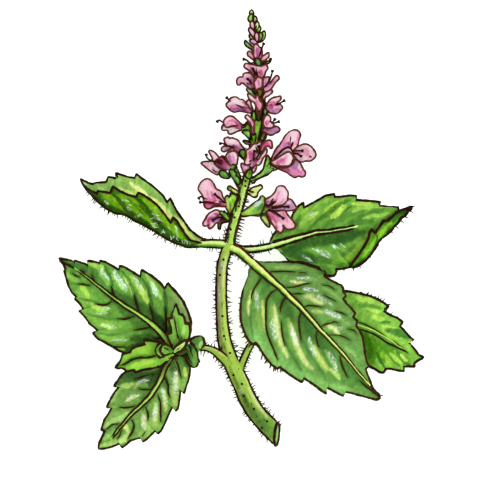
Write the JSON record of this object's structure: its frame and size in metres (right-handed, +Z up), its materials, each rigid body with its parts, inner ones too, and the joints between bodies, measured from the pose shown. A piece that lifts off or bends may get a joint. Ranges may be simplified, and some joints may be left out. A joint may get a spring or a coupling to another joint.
{
  "type": "holy basil sprig",
  "caption": "Cut flowering sprig of holy basil lying flat: hairy green stem, toothed oval leaves and a tapering spike of pink two-lipped flowers.",
  "frame": {"origin": "centre of the bounding box on the surface the sprig lies on", "axes": "+Y from the cut end of the stem to the top of the flower spike, +X to the right seen from above, +Z up from the surface"},
  "size_m": [0.0992, 0.119, 0.0154],
  "materials": {
    "stem_green": "green, downy, semi-matt",
    "leaf_green": "soft leaf sheen",
    "leaf_light": "soft leaf sheen",
    "leaf_young": "soft leaf sheen",
    "petal_pink": "satin petal",
    "calyx_green": "downy, semi-matt",
    "calyx_yellow": "dry, matt",
    "bud_green": "downy, semi-matt",
    "bud_pink": "satin petal"
  },
  "bodies": {
    "root": {"bud_pink_1": "bud_pink", "bud_pink_2": "bud_pink", "bud_pink_3": "bud_pink", "bud_pink_4": "bud_pink", "buds_green": "bud_green", "calyx_a": "calyx_green", "calyx_b": "calyx_green", "calyx_c": "calyx_green", "calyx_d": "calyx_green", "calyx_e": "calyx_green", "calyx_f": "calyx_green", "calyx_g": "calyx_green", "calyx_h": "calyx_green", "calyx_i": "calyx_green", "calyx_j": "calyx_green", "calyx_k": "calyx_green", "calyx_l": "calyx_green", "calyx_m": "calyx_green", "calyx_n": "calyx_green", "calyx_o": "calyx_green", "calyx_p": "calyx_green", "calyx_q": "calyx_green", "flower_a": "petal_pink", "flower_b": "petal_pink", "flower_c": "petal_pink", "flower_d": "petal_pink", "flower_e": "petal_pink", "flower_f": "petal_pink", "flower_g": "petal_pink", "flower_h": "petal_pink", "flower_i": "petal_pink", "flower_j": "petal_pink", "flower_k": "petal_pink", "flower_l": "petal_pink", "flower_m": "petal_pink", "flower_n": "petal_pink", "flower_o": "petal_pink", "flower_p": "petal_pink", "flower_q": "petal_pink", "flower_spike_stem": "stem_green", "leaf_back_right": "leaf_light", "leaf_bud_inner": "leaf_young", "leaf_bud_outer": "leaf_young", "leaf_bud_pale": "leaf_young", "leaf_front": "leaf_green", "leaf_shoot_lower": "leaf_green", "leaf_shoot_right_a": "leaf_green", "leaf_shoot_right_b": "leaf_young", "leaf_shoot_small_left": "leaf_young", "leaf_shoot_small_top": "leaf_young", "leaf_shoot_upper": "leaf_green", "leaf_upper_left": "leaf_green", "leaf_upper_right": "leaf_green", "left_shoot_stem": "stem_green", "main_stem": "stem_green", "old_calyx_back_lower": "calyx_yellow", "old_calyx_back_upper": "calyx_yellow", "old_calyx_left": "calyx_yellow", "old_calyx_right": "calyx_yellow", "right_shoot_stem": "stem_green"}
  },
  "joints": []
}
